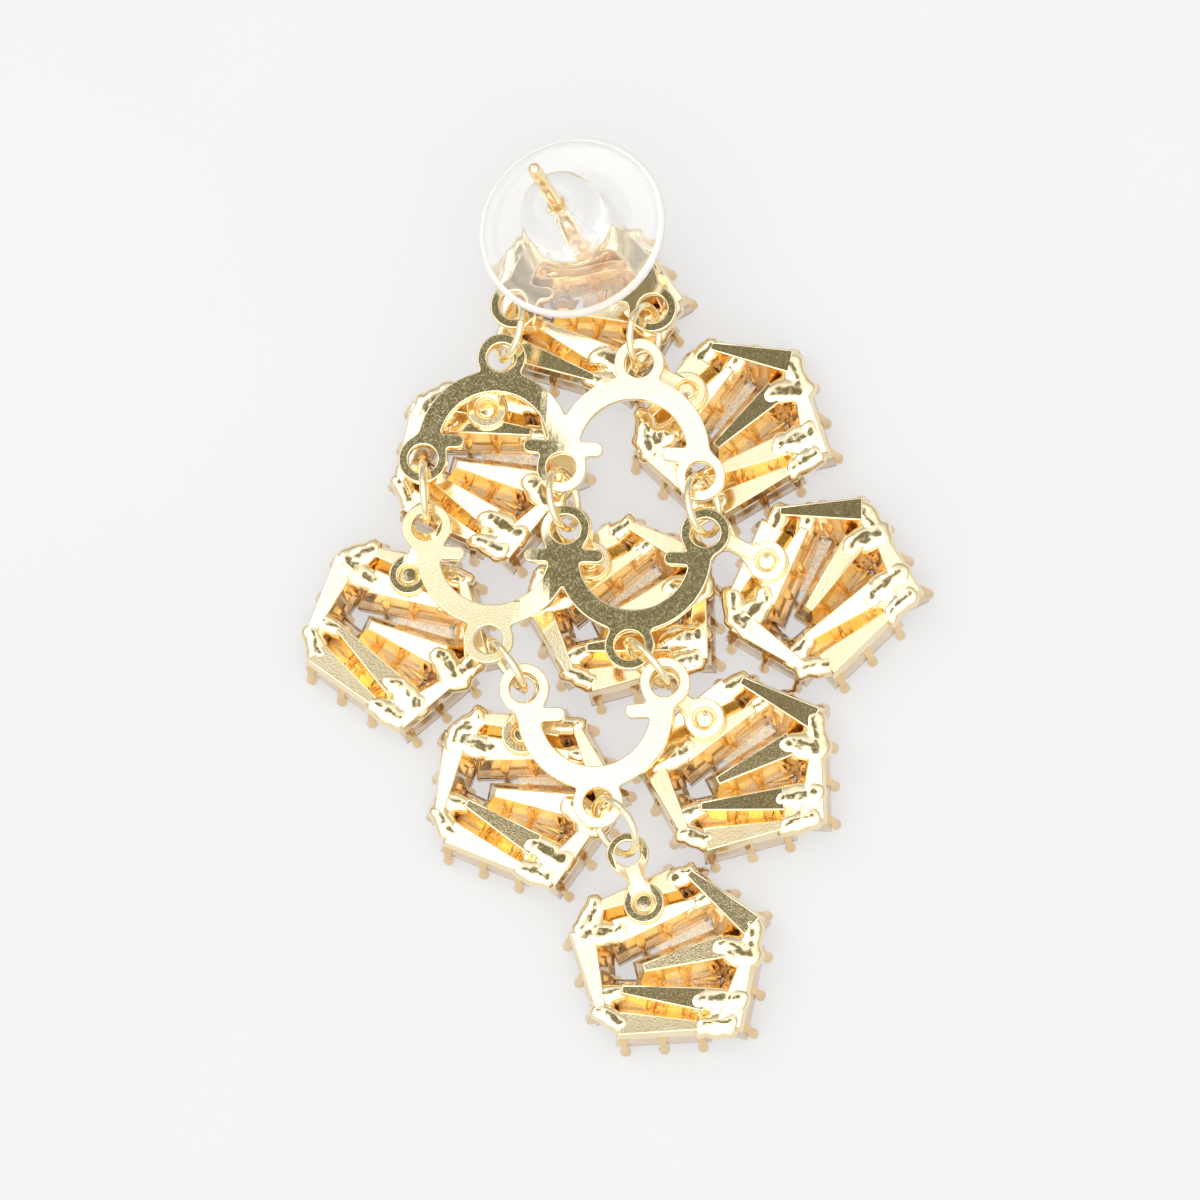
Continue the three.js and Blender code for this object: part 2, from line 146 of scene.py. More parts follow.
def stack(bm, rings, slot, smooth=False):
    """Closed shell through rings of equal point counts; returns its rows of vertices and its faces."""
    rows = [[bm.verts.new(p) for p in ring] for ring in rings]
    faces = []
    n = len(rows[0])
    for low, high in zip(rows, rows[1:]):
        for i in range(n):
            j = (i + 1) % n
            faces.append(bm.faces.new((low[i], low[j], high[j], high[i])))
    faces.append(bm.faces.new(list(reversed(rows[0]))))
    faces.append(bm.faces.new(rows[-1]))
    for f in faces:
        f.material_index = slot
        f.smooth = smooth
    return rows, faces


FLAT_AREA = 0.2   # square millimetres: faces this large are flats, shaded flat
FLAT_LEVEL = 0.991   # and so are faces that lie this level
SHARP_ANGLE, NUT_SHARP_ANGLE = 32, 60   # degrees between faces above which an edge stays sharp


def to_mesh(name, bm, materials, sharp=SHARP_ANGLE, flats=True):
    """Millimetre bmesh in plan coordinates to an object in the frame."""
    bmesh.ops.recalc_face_normals(bm, faces=bm.faces)
    flat_faces = []
    if flats:
        flat_faces = [f.calc_area() > FLAT_AREA or abs(f.normal.z) > FLAT_LEVEL for f in bm.faces]
    for v in bm.verts:
        v.co = Vector((v.co.x + SHIFT[0], v.co.y + SHIFT[1], v.co.z)) * MM
    mesh = bpy.data.meshes.new(name)
    bm.to_mesh(mesh)
    bm.free()
    for m in materials:
        mesh.materials.append(m)
    mesh.shade_smooth()
    mesh.set_sharp_from_angle(angle=math.radians(sharp))
    for polygon, flat in zip(mesh.polygons, flat_faces):
        polygon.use_smooth = not flat
    obj = bpy.data.objects.new(name, mesh)
    bpy.context.scene.collection.objects.link(obj)
    return obj


# Materials. Noise scales are per metre, as the pieces are in metres.

TINT_SCALE, SPECK_SCALE, PIT_SCALE, HAZE_SCALE, FLOOR_SCALE = 420, 9500, 10000, 260, 30
TINT_FROM, TINT_TO = 0.35, 0.65
SPECK_FROM, SPECK_TO = 0.40, 0.70
HAZE_FROM, HAZE_TO = 0.3, 0.8
PIT_DEPTH = 0.000006


def nodes_of(name):
    mat = bpy.data.materials.new(name)
    mat.use_nodes = True
    tree = mat.node_tree
    tree.nodes.clear()
    out = tree.nodes.new("ShaderNodeOutputMaterial")
    bsdf = tree.nodes.new("ShaderNodeBsdfPrincipled")
    tree.links.new(bsdf.outputs[0], out.inputs[0])
    return mat, tree, bsdf


def noise(tree, scale, detail=3.0, rough=0.55):
    coord = tree.nodes.new("ShaderNodeTexCoord")
    tex = tree.nodes.new("ShaderNodeTexNoise")
    tex.inputs["Scale"].default_value = scale
    tex.inputs["Detail"].default_value = detail
    tex.inputs["Roughness"].default_value = rough
    tree.links.new(coord.outputs["Object"], tex.inputs["Vector"])
    return tex


def ramp(tree, source, stops):
    node = tree.nodes.new("ShaderNodeValToRGB")
    while len(node.color_ramp.elements) < len(stops):
        node.color_ramp.elements.new(0.5)
    for element, (at, colour) in zip(node.color_ramp.elements, stops):
        element.position = at
        element.color = colour if len(colour) == 4 else (*colour, 1)
    tree.links.new(source, node.inputs[0])
    return node


def gold(name, pale, warm, rough_low, rough_high, bump):
    """Pale gold plating: slightly uneven colour, fine dull specks and a faintly rough surface."""
    mat, tree, bsdf = nodes_of(name)
    bsdf.inputs["Metallic"].default_value = 1.0
    tint = noise(tree, TINT_SCALE, 2)
    colour = ramp(tree, tint.outputs["Fac"], [(TINT_FROM, warm), (TINT_TO, pale)])
    tree.links.new(colour.outputs[0], bsdf.inputs["Base Color"])
    specks = noise(tree, SPECK_SCALE, 2, 0.6)
    gloss = ramp(tree, specks.outputs["Fac"], [(SPECK_FROM, (rough_low,) * 3), (SPECK_TO, (rough_high,) * 3)])
    tree.links.new(gloss.outputs[0], bsdf.inputs["Roughness"])
    pits = noise(tree, PIT_SCALE, 2, 0.6)
    relief = tree.nodes.new("ShaderNodeBump")
    relief.inputs["Strength"].default_value = bump
    relief.inputs["Distance"].default_value = PIT_DEPTH
    tree.links.new(pits.outputs["Fac"], relief.inputs["Height"])
    tree.links.new(relief.outputs[0], bsdf.inputs["Normal"])
    return mat


def clear(name, colour, ior, rough, haze, through):
    """Clear material whose gloss is slightly clouded."""
    mat, tree, bsdf = nodes_of(name)
    bsdf.inputs["Base Color"].default_value = (*colour, 1)
    bsdf.inputs["Transmission Weight"].default_value = through
    bsdf.inputs["IOR"].default_value = ior
    cloud = noise(tree, HAZE_SCALE, 2)
    gloss = ramp(tree, cloud.outputs["Fac"], [(HAZE_FROM, (rough,) * 3), (HAZE_TO, (rough + haze,) * 3)])
    tree.links.new(gloss.outputs[0], bsdf.inputs["Roughness"])
    return mat


# Pale colour, warm colour, roughness from and to, strength of the relief.
GOLD = gold("plated_gold", (0.96, 0.85, 0.58), (0.95, 0.82, 0.53), 0.08, 0.22, 0.45)
CAST = gold("cast_gold", (0.96, 0.83, 0.57), (0.93, 0.77, 0.49), 0.08, 0.19, 0.5)
# Colour, refraction, roughness, clouding, share of light let through.
# The stones' pinkish tint is a painted reflection of the gold seats behind them; the stones themselves are
# clear.
TINTED_CRYSTAL = clear("cut_crystal_gold_tinted", (1.0, 0.92, 0.86), 1.54, 0.0, 0.01, 0.78)
PLASTIC = clear("clear_plastic", (0.99, 0.985, 0.975), 1.36, 0.02, 0.05, 0.9)
# The nut's rim gets a whiter, cloudier copy of the plastic: a painted highlight for the bright band along the
# disc's edge.
RIM_HIGHLIGHT = clear("rim_painted_highlight", (0.99, 0.985, 0.98), 1.36, 0.15, 0.1, 0.5)
# The tan foil on the stones' backs, and for the claws a deeper, warmer copy of the cast gold: painted shade,
# the orange of their shaded sides.
FOIL = gold("stone_foil", (0.84, 0.71, 0.56), (0.76, 0.62, 0.46), 0.26, 0.4, 0.6)
CLAW_SHADED_GOLD = gold("claw_gold_painted_shade", (0.90, 0.68, 0.38), (0.80, 0.56, 0.28), 0.14, 0.28, 0.6)


# Flat stamped shapes: outlines read from a distance field, then cut as rounded plates.

def smooth_min(a, b, k):
    """The smaller of two distances, blended where they differ by less than k."""
    h = max(k - abs(a - b), 0.0) / k
    return min(a, b) - h * h * k * 0.25


def capsule(x, y, x0, y0, x1, y1, r):
    px, py, bx, by = x - x0, y - y0, x1 - x0, y1 - y0
    t = max(0.0, min(1.0, (px * bx + py * by) / max(bx * bx + by * by, 1e-9)))
    return math.hypot(px - bx * t, py - by * t) - r


def contours(field, x0, y0, x1, y1, step):
    """Closed outlines of the zero level of a field, by marching squares."""
    nx, ny = int((x1 - x0) / step) + 2, int((y1 - y0) / step) + 2
    value = [[field(x0 + i * step, y0 + j * step) for j in range(ny)] for i in range(nx)]
    points, links = {}, {}

    def crossing(i0, j0, i1, j1):
        key = (i0, j0, i1, j1)
        if key not in points:
            a, b = value[i0][j0], value[i1][j1]
            t = a / (a - b)
            points[key] = (x0 + (i0 + (i1 - i0) * t) * step, y0 + (j0 + (j1 - j0) * t) * step)
        return key

    for i in range(nx - 1):
        for j in range(ny - 1):
            inside = [value[i][j] < 0, value[i + 1][j] < 0, value[i + 1][j + 1] < 0, value[i][j + 1] < 0]
            if all(inside) or not any(inside):
                continue
            sides = [(i, j, i + 1, j), (i + 1, j, i + 1, j + 1), (i, j + 1, i + 1, j + 1), (i, j, i, j + 1)]
            cut = [crossing(*sides[k]) for k in range(4) if inside[k] != inside[(k + 1) % 4]]
            for k in range(0, len(cut) - 1, 2):
                links.setdefault(cut[k], []).append(cut[k + 1])
                links.setdefault(cut[k + 1], []).append(cut[k])
    loops, seen = [], set()
    for start in links:
        if start in seen:
            continue
        loop, here, before = [], start, None
        while here is not None and here not in seen:
            seen.add(here)
            loop.append(points[here])
            ahead = [k for k in links[here] if k != before and k not in seen]
            before, here = here, (ahead[0] if ahead else None)
        if len(loop) > 8:
            loops.append(loop)
    return loops


def even(loop, spacing):
    """The same closed line with points at an even spacing."""
    pts = loop + [loop[0]]
    lengths = [0.0]
    for a, b in zip(pts, pts[1:]):
        lengths.append(lengths[-1] + math.hypot(b[0] - a[0], b[1] - a[1]))
    count = max(12, round(lengths[-1] / spacing))
    out, k = [], 0
    for i in range(count):
        s = lengths[-1] * i / count
        while lengths[k + 1] < s:
            k += 1
        t = (s - lengths[k]) / max(lengths[k + 1] - lengths[k], 1e-9)
        a, b = pts[k], pts[k + 1]
        out.append((a[0] + (b[0] - a[0]) * t, a[1] + (b[1] - a[1]) * t))
    return out


STAMP_STEP, STAMP_SPACING = 0.09, 0.11   # of the sampled field, and of points along an edge
PLATE_EDGE, ARCH_EDGE, TAB_EDGE = 0.08, 0.1, 0.09   # rounding of the edges


def stamped(field, box, thick, round_off, step=STAMP_STEP, spacing=STAMP_SPACING):
    """A flat body of the given thickness with rounded edges, as a bmesh from z = 0 up."""
    curve = bpy.data.curves.new("stamping", "CURVE")
    curve.dimensions = "2D"
    curve.fill_mode = "BOTH"
    curve.extrude = thick / 2 - round_off
    curve.bevel_depth = round_off
    curve.bevel_resolution = 2
    for loop in contours(lambda x, y: field(x, y) + round_off, *box, step):
        pts = even(loop, spacing)
        spline = curve.splines.new("POLY")
        spline.points.add(len(pts) - 1)
        for point, (x, y) in zip(spline.points, pts):
            point.co = (x, y, 0, 1)
        spline.use_cyclic_u = True
    obj = bpy.data.objects.new("stamping", curve)
    bpy.context.scene.collection.objects.link(obj)
    bpy.context.view_layer.update()
    mesh = bpy.data.meshes.new_from_object(obj)
    bm = bmesh.new()
    bm.from_mesh(mesh)
    bmesh.ops.remove_doubles(bm, verts=bm.verts, dist=1e-4)
    bmesh.ops.translate(bm, verts=bm.verts, vec=(0, 0, thick / 2))
    bpy.data.objects.remove(obj)
    bpy.data.curves.remove(curve)
    bpy.data.meshes.remove(mesh)
    return bm


def loop_places(plate):
    s = -1 if plate["flip"] else 1
    count, foot = plate["lobes"], plate["foot"]
    first = -PITCH * count / 2
    feet = [(first + i * PITCH, -foot * s) for i in range(count + 1)]
    crowns = [(first + (i + 0.5) * PITCH, CROWN * s) for i in range(count)]
    return feet, crowns


BOX_SIDE, BOX_HALF_HEIGHT = 1.8, 7.2   # room left round a plate when its field is sampled
BAND_BLEND, LOOP_BLEND, NUB_ROOT = 0.3, 0.5, 0.12


def plate_field(plate, crown_loops):
    s = -1 if plate["flip"] else 1
    foot = plate["foot"]
    feet, crowns = loop_places(plate)
    loops = feet + crowns if crown_loops else feet
    reach = LOBE_R - BAND / 2 + NUB_ROOT
    tip = reach - NUB_LENGTH

    def field(x, y):
        d = 9.0
        for cx, _ in crowns:
            lx, ly = x - cx, y * s
            if ly > 0:
                arc = abs(math.hypot(lx, ly) - LOBE_R) - BAND / 2
            else:
                arc = max(abs(abs(lx) - LOBE_R) - BAND / 2, -ly - foot)
            nubs = min(capsule(lx, ly, side * reach, NUB_Y, side * tip, NUB_Y, NUB_WIDTH / 2)
                       for side in (-1, 1))
            d = smooth_min(d, smooth_min(arc, nubs, BAND_BLEND), BAND_BLEND)
        for px, py in loops:
            d = smooth_min(d, math.hypot(x - px, y - py) - LOOP_R, LOOP_BLEND)
        for px, py in loops:
            d = max(d, HOLE_R - math.hypot(x - px, y - py))
        return d

    half = PITCH * plate["lobes"] / 2 + BOX_SIDE
    return field, (-half, -BOX_HALF_HEIGHT, half, BOX_HALF_HEIGHT)


def smooth_step(t):
    t = max(0.0, min(1.0, t))
    return t * t * (3 - 2 * t)


BEND_WIDTH, BEND_STEPS = 2.4, 6


def leaned(bm, plate, slopes, bend):
    """Lean each lobe's plane a little, as handling leaves it; the bend runs across near the middle."""
    side = -1 if plate["flip"] else 1
    centres = [x for x, _ in loop_places(plate)[1]]
    if len(centres) > 1:
        for cut in (BEND_WIDTH * (k / BEND_STEPS - 0.5) for k in range(BEND_STEPS + 1)):
            bmesh.ops.bisect_plane(bm, geom=bm.verts[:] + bm.edges[:] + bm.faces[:], dist=1e-5,
                                   plane_co=(cut + bend, 0, 0), plane_no=(1, 0, 0))
    for v in bm.verts:
        across = smooth_step(0.5 + (v.co.x - bend) / BEND_WIDTH) if len(centres) > 1 else 0.0
        slope = slopes[0] * (1 - across) + slopes[-1] * across
        v.co.z += slope * v.co.y * side


def moved(bm, at, z):
    x, y, turn = spot(at)
    bmesh.ops.transform(bm, verts=bm.verts, matrix=Matrix.Translation((x, y, z))
                        @ Matrix.Rotation(math.radians(turn), 4, "Z"))


# Where the jump rings run: the same sums as in the solids.

PLATE_MID, ARCH_MID = PLATE_Z + PLATE_THICK / 2, ARCH_Z + PLATE_THICK / 2


def hole_of(plate, kind, i, z=PLATE_MID):
    p = place(loop_places(plate)[kind][i], plate)
    return p[0], p[1], z


FEET, CROWNS = 0, 1
BOTTOM_END = (*place((1.84, -7.82), LOWER), PLATE_MID)
# Each ring: hole above, hole below, lean in degrees, cluster that hangs on it.
LINKS = {
    "upper_left": (hole_of(ARCH, FEET, 0, ARCH_MID), hole_of(UPPER, CROWNS, 0), 28, "upper_left"),
    "upper_right": (hole_of(ARCH, FEET, 1, ARCH_MID), hole_of(UPPER, CROWNS, 1), -22, "upper_right"),
    "middle_left": (hole_of(UPPER, FEET, 0), hole_of(MIDDLE, FEET, 0), 4, "left"),
    "middle": (hole_of(UPPER, FEET, 1), hole_of(MIDDLE, FEET, 1), -22, "center"),
    "middle_right": (hole_of(UPPER, FEET, 2), hole_of(MIDDLE, FEET, 2), -26, "right"),
    "lower_left": (hole_of(MIDDLE, CROWNS, 0), hole_of(LOWER, FEET, 0), 8, "lower_left"),
    "lower_right": (hole_of(MIDDLE, CROWNS, 1), hole_of(LOWER, FEET, 1), 8, "lower_right"),
    "bottom": (hole_of(LOWER, CROWNS, 0), BOTTOM_END, 30, "bottom"),
}


def ring_run(start, end, lean, tab_only):
    """A ring's centre, its direction along the chain, its upward direction, and where it holds the tab."""
    (x1, y1, z1), (x2, y2, z2) = start, end
    tilt = math.radians(lean)
    centre_z = BACK_Z + LINK_GAP + WIRE + RING_R * math.cos(tilt)
    length = math.hypot(x2 - x1, y2 - y1)
    u = ((x2 - x1) / length, (y2 - y1) / length)
    n = (-u[1], u[0])

    def drop(z):
        return (z - centre_z) / math.cos(tilt)

    def reach(z):
        return math.sqrt(RING_R ** 2 - drop(z) ** 2)

    side = -math.sin(tilt) * (drop(z1) if tab_only else (drop(z1) + drop(z2)) / 2)
    shift = reach(z1) if tab_only else (length + reach(z1) - reach(z2)) / 2
    centre = (x1 + u[0] * shift + n[0] * side, y1 + u[1] * shift + n[1] * side)
    mid = TAB_Z + TAB_THICK / 2
    tab = (centre[0] + u[0] * reach(mid) + n[0] * math.sin(tilt) * drop(mid),
           centre[1] + u[1] * reach(mid) + n[1] * math.sin(tilt) * drop(mid))
    run = Vector((u[0], u[1], 0))
    rise = Vector((n[0] * math.sin(tilt), n[1] * math.sin(tilt), math.cos(tilt)))
    return Vector((centre[0], centre[1], centre_z)), run, rise, tab


RINGS = {name: (*ring_run(a, b, lean, name == "bottom"), cluster)
         for name, (a, b, lean, cluster) in LINKS.items()}


# Clusters: seats with stones, prongs, solder webs and the tab, as one piece.

INNER = "fgh"   # stones inside the ring of five, which neighbours close in on both sides
LOW_RIM_Z, LOW_REACH = 1.45, 0.42   # the lower edge of an inner wall, and how far it flares
HIGH_RIM_Z, HIGH_REACH = 2.35, -0.1   # the same for the walls on the outside of the ring
BACK_GROWTH, INSIDE_GROWTH = -0.27, -0.46
INSIDE_Z = 2.9
SEAT_EDGE = 0.075   # rounding of the back's worn edges
BACK_HALF_WIDTH, BACK_HALF_LENGTH = 0.57, 2.27   # a tipped back is lowered by these, to stay under BACK_Z


def seat(bm, name, across, along_it):
    """A hollow metal seat: flat back with worn edges, walls that flare down to the stone's edge."""
    low = LOW_RIM_Z if name in INNER else HIGH_RIM_Z
    reach = LOW_REACH if name in INNER else HIGH_REACH
    back, inside = BACK_GROWTH, INSIDE_GROWTH
    # Height and growth on the outer side, then on the inner side.
    levels = [
        (INSIDE_Z, inside, INSIDE_Z, inside),
        (low + 0.3, -0.3, LOW_RIM_Z + 0.3, -0.1),
        (low + 0.02, reach - 0.08, LOW_RIM_Z + 0.02, LOW_REACH - 0.06),
        (low, reach, LOW_RIM_Z, LOW_REACH + 0.02),
        (low + 0.35, reach * 0.6 - 0.04, LOW_RIM_Z + 0.45, 0.16),
        (BACK_Z - 0.1, back + 0.03, BACK_Z - 0.1, back + 0.03),
        (BACK_Z, back, BACK_Z, back),
    ]
    top = len(levels) - 1
    rings = []
    for k, (z_outer, outer, z_inner, inner) in enumerate(levels):
        ring = []
        for x, y in outline(outer, inner):
            px, py = along(name, x, y)
            tip = across * y + along_it * x - abs(across) * BACK_HALF_WIDTH - abs(along_it) * BACK_HALF_LENGTH
            ring.append((px, py, (z_inner if y > 0 else z_outer) + (tip if k >= top - 1 else 0.0)))
        rings.append(ring)
    rows, _ = stack(bm, rings, METAL)
    edges = {e for v in rows[top] for e in v.link_edges if e.other_vert(v) in rows[top]}
    bmesh.ops.bevel(bm, geom=list(edges), offset=SEAT_EDGE, segments=3, profile=0.5, affect="EDGES")


# Height and growth of a stone's outline, from its table to its back.
STONE_SECTIONS = [(TABLE_Z, -0.2), (STEP_Z, -0.08), (GIRDLE_Z, 0.06), (1.1, 0.06), (1.7, 0.0), (2.35, -0.19),
                  (2.75, -0.5)]
INNER_GROWTH = 0.36   # further growth towards the gaps of the fan
NARROW_FROM_Z, NARROW_SHARE = 2.0, 0.3   # above this height only a share of it
FOIL_FROM_Z = GIRDLE_Z + 0.2


def stone(bm, name):
    """Step-cut tapered baguette: table, two crown steps, girdle and a flank that narrows into the seat."""
    outer_growth = INNER_GROWTH if name in INNER else 0.0
    rings = []
    for z, grow in STONE_SECTIONS:
        share = NARROW_SHARE if z > NARROW_FROM_Z else 1.0
        shape = outline(grow + outer_growth * share, grow + INNER_GROWTH * share)
        rings.append([(*along(name, x, y), z) for x, y in shape])
    _, faces = stack(bm, rings, GLASS)
    for f in faces:
        if min(v.co.z for v in f.verts) > FOIL_FROM_Z:
            f.material_index = BACKING


def half_width(distance):
    """Half the stone's width at a place along it."""
    share = distance / STONE_LENGTH + 0.5
    return (STONE_WIDE + (STONE_NARROW - STONE_WIDE) * share) / 2


def bridge(bm, one, side, start, end, two, other_side, back_start, back_end):
    """A thin sheet between two neighbouring seats."""
    corners = [along(one, d, side * (half_width(d) + BRIDGE_LAP)) for d in (start, end)]
    corners += [along(two, d, other_side * (half_width(d) + BRIDGE_LAP)) for d in (back_start, back_end)]
    stack(bm, [[(x, y, z) for x, y in corners] for z in (BRIDGE_LOW_Z, BRIDGE_HIGH_Z)], BACKING)


# A claw's sections: height, distance out from the stone's side, half width, half depth.
CLAW_SECTIONS = [
    (2.75, -0.3, 0.34, 0.06), (2.4, -0.14, 0.3, 0.16), (1.9, 0.02, 0.24, 0.2), (1.4, 0.14, 0.21, 0.22),
    (1.0, 0.22, 0.22, 0.22), (0.75, 0.27, 0.27, 0.25), (0.45, 0.29, 0.31, 0.29), (0.2, 0.27, 0.28, 0.27),
    (0.05, 0.24, 0.18, 0.17), (0.0, 0.24, 0.08, 0.08),
]
CLAW_SIDES, CLAW_ROUNDNESS = 10, 0.85
INNER_CLAW_OUT = 0.12   # claws in the gaps stand further out, as the stones do there


def prong(bm, name, side, distance):
    """A claw: it leaves the seat's wall, bends out round the stone and laps over its edge."""
    half = half_width(distance) + (INNER_CLAW_OUT if side > 0 or name in INNER else 0.0)
    rings = []
    for z, out, wide, deep in CLAW_SECTIONS:
        ring = []
        for i in range(CLAW_SIDES):
            a = 2 * math.pi * i / CLAW_SIDES
            ca, sa = math.cos(a), math.sin(a)
            x = math.copysign(abs(ca) ** CLAW_ROUNDNESS, ca) * wide
            y = math.copysign(abs(sa) ** CLAW_ROUNDNESS, sa) * deep
            ring.append((*along(name, distance + x, side * (half + out) + y), z))
        rings.append(ring)
    stack(bm, rings, CLAWS, True)


DROP_UNEVEN, DROP_SCALE, DROP_DEPTH, WEB_END = 0.26, 1.4, 0.6, 0.4


def lump(bm, x, y, z, rx, ry, rz, turn, seed):
    """A flattened drop of solder with an uneven rim."""
    made = bmesh.ops.create_icosphere(bm, subdivisions=3, radius=1.0)["verts"]
    a = math.radians(turn)
    for v in made:
        c = v.co.copy()
        flat = math.hypot(c.x, c.y)
        sample = Vector((c.x * DROP_SCALE + seed, c.y * DROP_SCALE, seed * 0.37))
        spread = 1 + DROP_UNEVEN * uneven.noise(sample)
        px, py = c.x * rx * spread, c.y * ry * spread
        height = math.copysign(max(0.0, 1 - flat ** 4) ** 0.5, c.z) * rz
        v.co = (x + px * math.cos(a) - py * math.sin(a), y + px * math.sin(a) + py * math.cos(a), z + height)


def web(bm, one, start, two, end, wide, top, seed):
    """Solder that has run between two seats: a long drop and a smaller one at each end."""
    x0, y0 = along(one, start)
    x1, y1 = along(two, end)
    turn = math.degrees(math.atan2(y1 - y0, x1 - x0))
    length = math.hypot(x1 - x0, y1 - y0)
    deep = DROP_DEPTH
    lump(bm, (x0 + x1) / 2, (y0 + y1) / 2, top - deep, length / 2 + WEB_END, wide, deep, turn, seed)
    lump(bm, x0, y0, top - deep, wide * 1.1, wide * 0.8, deep, turn + 40, seed + 9)
    lump(bm, x1, y1, top - deep, wide * 0.9, wide * 1.1, deep, turn - 30, seed + 17)


MELT_VOXEL, MELT_SMOOTHING = 0.085, 12
# Height and scale of the broad and the fine ripple on the solder.
RIPPLE, RIPPLE_SCALE, FINE_RIPPLE, FINE_SCALE = 0.045, 1.1, 0.01, 3.1


def solder(seed):
    """All the solder of one cluster, melted into one smooth skin with a rippled, nearly flat top."""
    bm = bmesh.new()
    for index, item in enumerate(WEBS):
        web(bm, *item, seed * 5.3 + index * 2.9)
    mesh = bpy.data.meshes.new("solder")
    bm.to_mesh(mesh)
    bm.free()
    obj = bpy.data.objects.new("solder", mesh)
    bpy.context.scene.collection.objects.link(obj)
    melt = obj.modifiers.new("melt", "REMESH")
    melt.mode = "VOXEL"
    melt.voxel_size = MELT_VOXEL
    soft = obj.modifiers.new("soft", "SMOOTH")
    soft.factor = 0.5
    soft.iterations = MELT_SMOOTHING
    bpy.context.view_layer.update()
    melted = bpy.data.meshes.new_from_object(obj.evaluated_get(bpy.context.evaluated_depsgraph_get()))
    out = bmesh.new()
    out.from_mesh(melted)
    for v in out.verts:
        ripple = uneven.noise(Vector((v.co.x * RIPPLE_SCALE, v.co.y * RIPPLE_SCALE, seed * 1.3)))
        fine = uneven.noise(Vector((v.co.x * FINE_SCALE, v.co.y * FINE_SCALE, seed * 0.7)))
        v.co.z += RIPPLE * ripple + FINE_RIPPLE * fine
    for f in out.faces:
        f.smooth = True
    bpy.data.objects.remove(obj)
    bpy.data.meshes.remove(mesh)
    bpy.data.meshes.remove(melted)
    return out


RECESS_R, TAB_BOX, TAB_STEP = 0.64, 1.8, 0.07
# Rivet with its low flat head, then the solder under the pad: sides, and radius and height of each ring.
RIVET = (20, ((0.3, 3.2), (0.66, 3.3), (0.66, 3.4), (0.54, 3.44), (0.47, 3.6), (0.4, 3.64), (0.12, 3.65)))
PAD_SOLDER = (24, ((0.8, 2.9), (1.22, 3.2), (1.16, 3.34), (1.02, 3.42)))
LEAN_ALONG = -0.4   # share of the pad's lean that runs along the tab
PAD_BLEND, NECK_BLEND = 0.1, 0.5
RISE_START, RISE_ROOM = 0.25, 0.75   # where the neck starts to rise, and its further length


def tab(pad, loop, lean):
    """Riveted pad, rising neck and loop, with rounded edges; the pad leans a little, as it was soldered."""
    length = math.hypot(loop[0] - pad[0], loop[1] - pad[1])
    turn = math.degrees(math.atan2(loop[1] - pad[1], loop[0] - pad[0]))

    def field(x, y):
        d = smooth_min(math.hypot(x, y) - PAD_R, math.hypot(x - length, y) - TAB_OUTER, PAD_BLEND)
        d = smooth_min(d, capsule(x, y, 0, 0, length, 0, NECK / 2), NECK_BLEND)
        return max(d, TAB_HOLE - math.hypot(x - length, y), RECESS_R - math.hypot(x, y))

    box = (-TAB_BOX, -TAB_BOX, length + TAB_BOX, TAB_BOX)
    bm = stamped(field, box, TAB_THICK, TAB_EDGE, TAB_STEP, STAMP_STEP)
    low, high = PAD_TOP_Z - TAB_THICK, TAB_Z
    for v in bm.verts:
        rise = smooth_step((v.co.x - PAD_R + RISE_START) / (length - PAD_R - TAB_OUTER + RISE_ROOM))
        v.co.z += low + (high - low) * rise + lean * (v.co.y + LEAN_ALONG * v.co.x) * (1 - rise)
    for sides, profile in (RIVET, PAD_SOLDER):
        rings = []
        for r, z in profile:
            spokes = [(r * math.cos(2 * math.pi * i / sides), r * math.sin(2 * math.pi * i / sides))
                      for i in range(sides)]
            rings.append([(x, y, z + lean * (y + LEAN_ALONG * x)) for x, y in spokes])
        stack(bm, rings, METAL, True)
    moved(bm, (pad[0], pad[1], turn), 0)
    return bm


def take(bm, other):
    """Adds one bmesh to another."""
    mesh = bpy.data.meshes.new("part")
    other.to_mesh(mesh)
    other.free()
    bm.from_mesh(mesh)
    bpy.data.meshes.remove(mesh)


AXIS = Vector((math.tan(math.radians(LEAN_X)), math.tan(math.radians(LEAN_Y)), 1)).normalized()
CUP_AT = place((-0.45, LOBE_R - 0.35), ARCH)
POST_FOOT = Vector((CUP_AT[0], CUP_AT[1], ARCH_Z + PLATE_THICK))


def turned(bm, profile, sides, slot=METAL, upright=False, closed=False):
    """Turned body about the post's axis, or about an upright line through the cup; closed has a bore."""
    spin = Matrix.Identity(3) if upright else Vector((0, 0, 1)).rotation_difference(AXIS).to_matrix()
    rings = []
    for r, z in profile:
        ring = []
        for i in range(sides):
            a = 2 * math.pi * i / sides
            ring.append(POST_FOOT + spin @ Vector((r * math.cos(a), r * math.sin(a), z)))
        rings.append(ring)
    if not closed:
        stack(bm, rings, slot, True)
        return
    rows = [[bm.verts.new(p) for p in ring] for ring in rings]
    rows.append(rows[0])
    for low, high in zip(rows, rows[1:]):
        for i in range(sides):
            j = (i + 1) % sides
            f = bm.faces.new((low[i], low[j], high[j], high[i]))
            f.material_index, f.smooth = slot, True


# Solder posts that carry the arch: where they stand round it, and radius and height of each ring.
STILT_REACH, STILT_ANGLES, STILT_SIDES = LOBE_R + 0.35, (27, 90, 164), 16
STILT = ((0.3, 2.4), (0.62, 2.9), (0.55, 3.5), (0.5, 3.9), (0.56, 4.3), (0.4, 4.54))
